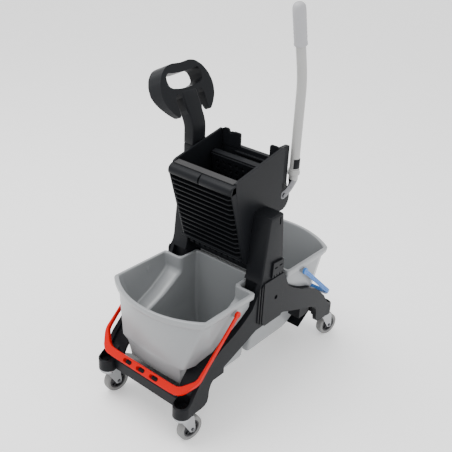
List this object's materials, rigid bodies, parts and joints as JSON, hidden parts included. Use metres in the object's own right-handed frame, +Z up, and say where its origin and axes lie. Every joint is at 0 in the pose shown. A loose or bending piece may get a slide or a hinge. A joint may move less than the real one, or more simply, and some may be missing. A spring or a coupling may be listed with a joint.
{
  "type": "two-bucket mopping trolley with press wringer",
  "caption": "Janitorial trolley on swivel castors with two lift-out buckets on swinging bails, a lever press wringer between twin towers and an angled push handle.",
  "frame": {"origin": "on the floor, midway between the castor pivots", "axes": "+X towards the lever side, +Y along the trolley towards the rear bucket with the blue bail, +Z up"},
  "size_m": [0.4746, 0.8721, 1.2695],
  "materials": {
    "black_plastic": "moulded polypropylene with a fine grain",
    "bucket_grey": "semi-gloss moulded polypropylene",
    "red_plastic": "satin moulded plastic",
    "blue_plastic": "satin moulded plastic",
    "grey_plastic": "matt moulded plastic",
    "lever_paint": "light grey powder coat",
    "grip_plastic": "soft matt vinyl",
    "zinc_steel": "bright zinc plating",
    "castor_chrome": "bright zinc plating",
    "tyre_rubber": "grey non-marking rubber",
    "hub_plastic": "black nylon"
  },
  "bodies": {
    "chassis": {"side_frame_right": "black_plastic", "side_frame_left": "black_plastic", "cross_member_front": "black_plastic", "cross_member_rear": "black_plastic", "tower_right": "black_plastic", "tower_left": "black_plastic", "pad_right": "black_plastic", "pad_left": "black_plastic", "clip_plate_right": "black_plastic", "clip_plate_left": "black_plastic", "centre_bridge": "black_plastic", "bucket_guides": "black_plastic", "handle_stub": "black_plastic", "handle_loop": "black_plastic", "wringer_front": "black_plastic", "wringer_lip": "grey_plastic", "wringer_cheek_right": "black_plastic", "wringer_cheek_left": "black_plastic", "wringer_floor": "black_plastic", "wringer_back": "black_plastic", "wringer_bolts": "zinc_steel", "rear_casing": "black_plastic", "shaft_bushes": "zinc_steel", "castor_stem_fl": "castor_chrome", "castor_stem_fr": "castor_chrome", "castor_stem_rl": "castor_chrome", "castor_stem_rr": "castor_chrome"},
    "bucket_front": {"bucket_front": "bucket_grey"},
    "bucket_rear": {"bucket_rear": "bucket_grey"},
    "bail_front": {"bail_front": "red_plastic"},
    "bail_rear": {"bail_rear": "blue_plastic"},
    "press": {"press_plate": "black_plastic", "press_yokes": "black_plastic"},
    "lever": {"lever_shaft": "zinc_steel", "cranks": "zinc_steel", "lever_end": "zinc_steel", "lever_tube": "lever_paint", "lever_collar": "lever_paint", "lever_band": "black_plastic", "lever_grip": "grip_plastic"},
    "swivel_fl": {"castor_fork_fl": "castor_chrome", "castor_axle_fl": "castor_chrome"},
    "wheel_fl": {"castor_hub_fl": "hub_plastic", "castor_tyre_fl": "tyre_rubber"},
    "swivel_fr": {"castor_fork_fr": "castor_chrome", "castor_axle_fr": "castor_chrome"},
    "wheel_fr": {"castor_hub_fr": "hub_plastic", "castor_tyre_fr": "tyre_rubber"},
    "swivel_rl": {"castor_fork_rl": "castor_chrome", "castor_axle_rl": "castor_chrome"},
    "wheel_rl": {"castor_hub_rl": "hub_plastic", "castor_tyre_rl": "tyre_rubber"},
    "swivel_rr": {"castor_fork_rr": "castor_chrome", "castor_axle_rr": "castor_chrome"},
    "wheel_rr": {"castor_hub_rr": "hub_plastic", "castor_tyre_rr": "tyre_rubber"}
  },
  "joints": [
    {"name": "bucket_front_lift_out", "type": "slide", "parent": "chassis", "child": "bucket_front", "axis": [0, -0.788, 0.6157], "range_m": [0, 0.28]},
    {"name": "bail_front_swing", "type": "hinge", "parent": "bucket_front", "child": "bail_front", "pos_m": [0, -0.18, 0.388], "axis": [-1, 0, 0], "range_deg": [0, 130]},
    {"name": "bucket_rear_lift_out", "type": "slide", "parent": "chassis", "child": "bucket_rear", "axis": [0, 0.788, 0.6157], "range_m": [0, 0.28]},
    {"name": "bail_rear_swing", "type": "hinge", "parent": "bucket_rear", "child": "bail_rear", "pos_m": [0, 0.18, 0.388], "axis": [1, 0, 0], "range_deg": [0, 80]},
    {"name": "lever_swing", "type": "hinge", "parent": "chassis", "child": "lever", "pos_m": [0.12, 0.126, 0.663], "axis": [-1, 0, 0], "range_deg": [0, 70]},
    {"name": "press_slide", "type": "slide", "parent": "chassis", "child": "press", "axis": [0, -0.9806, -0.1959], "range_m": [0, 0.0804]},
    {"name": "castor_fl_swivel", "type": "hinge", "parent": "chassis", "child": "swivel_fl", "pos_m": [-0.168, -0.385, 0.098], "axis": [0, 0, 1], "continuous": true},
    {"name": "castor_fl_roll", "type": "hinge", "parent": "swivel_fl", "child": "wheel_fl", "pos_m": [-0.16382, -0.35529, 0.0425], "axis": [0.9903, -0.1392, 0], "continuous": true},
    {"name": "castor_fr_swivel", "type": "hinge", "parent": "chassis", "child": "swivel_fr", "pos_m": [0.168, -0.385, 0.098], "axis": [0, 0, 1], "continuous": true},
    {"name": "castor_fr_roll", "type": "hinge", "parent": "swivel_fr", "child": "wheel_fr", "pos_m": [0.17217, -0.35529, 0.0425], "axis": [0.9903, -0.1392, 0], "continuous": true},
    {"name": "castor_rl_swivel", "type": "hinge", "parent": "chassis", "child": "swivel_rl", "pos_m": [-0.168, 0.385, 0.098], "axis": [0, 0, 1], "continuous": true},
    {"name": "castor_rl_roll", "type": "hinge", "parent": "swivel_rl", "child": "wheel_rl", "pos_m": [-0.16279, 0.41454, 0.0425], "axis": [0.9848, -0.1736, 0], "continuous": true},
    {"name": "castor_rr_swivel", "type": "hinge", "parent": "chassis", "child": "swivel_rr", "pos_m": [0.168, 0.385, 0.098], "axis": [0, 0, 1], "continuous": true},
    {"name": "castor_rr_roll", "type": "hinge", "parent": "swivel_rr", "child": "wheel_rr", "pos_m": [0.17424, 0.41434, 0.0425], "axis": [0.9781, -0.2079, 0], "continuous": true}
  ],
  "couplings": [
    {"joint": "press_slide", "follows": "lever_swing", "m_per_rad": 0.065727}
  ]
}
